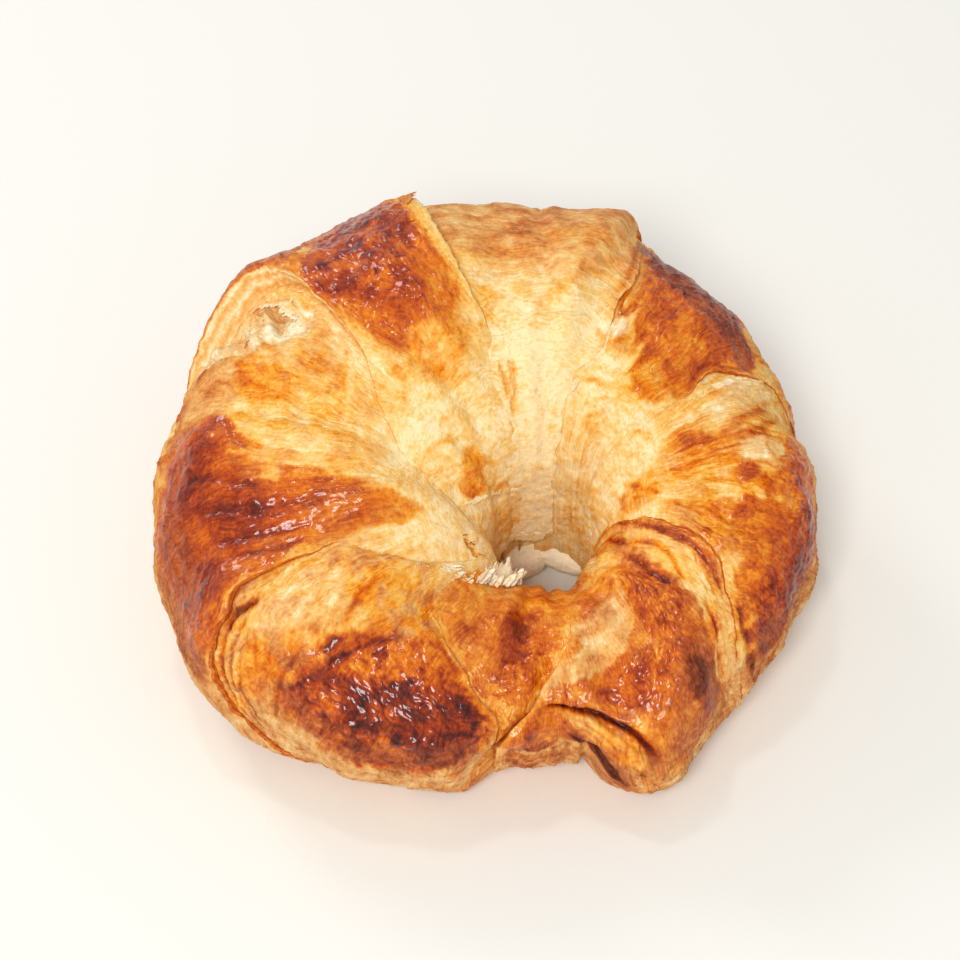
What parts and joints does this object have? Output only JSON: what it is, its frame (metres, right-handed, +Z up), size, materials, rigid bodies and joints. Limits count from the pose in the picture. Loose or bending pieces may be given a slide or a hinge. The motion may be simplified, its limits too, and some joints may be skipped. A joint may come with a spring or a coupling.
{
  "type": "croissant",
  "caption": "Butter croissant whose two arms curl round a small open hole until their tips overlap in front, with a browned, layered crust.",
  "frame": {"origin": "middle of the bounding box's bottom face, on the surface that the croissant lies on", "axes": "+Z up, the overlapping tips face -Y, the thick middle is toward +Y, the left arm is toward -X"},
  "size_m": [0.1378, 0.1302, 0.0634],
  "materials": {
    "crust": "baked laminated dough, golden to dark brown, glossy where it was egg washed"
  },
  "bodies": {
    "root": {"croissant": "crust"}
  },
  "joints": []
}
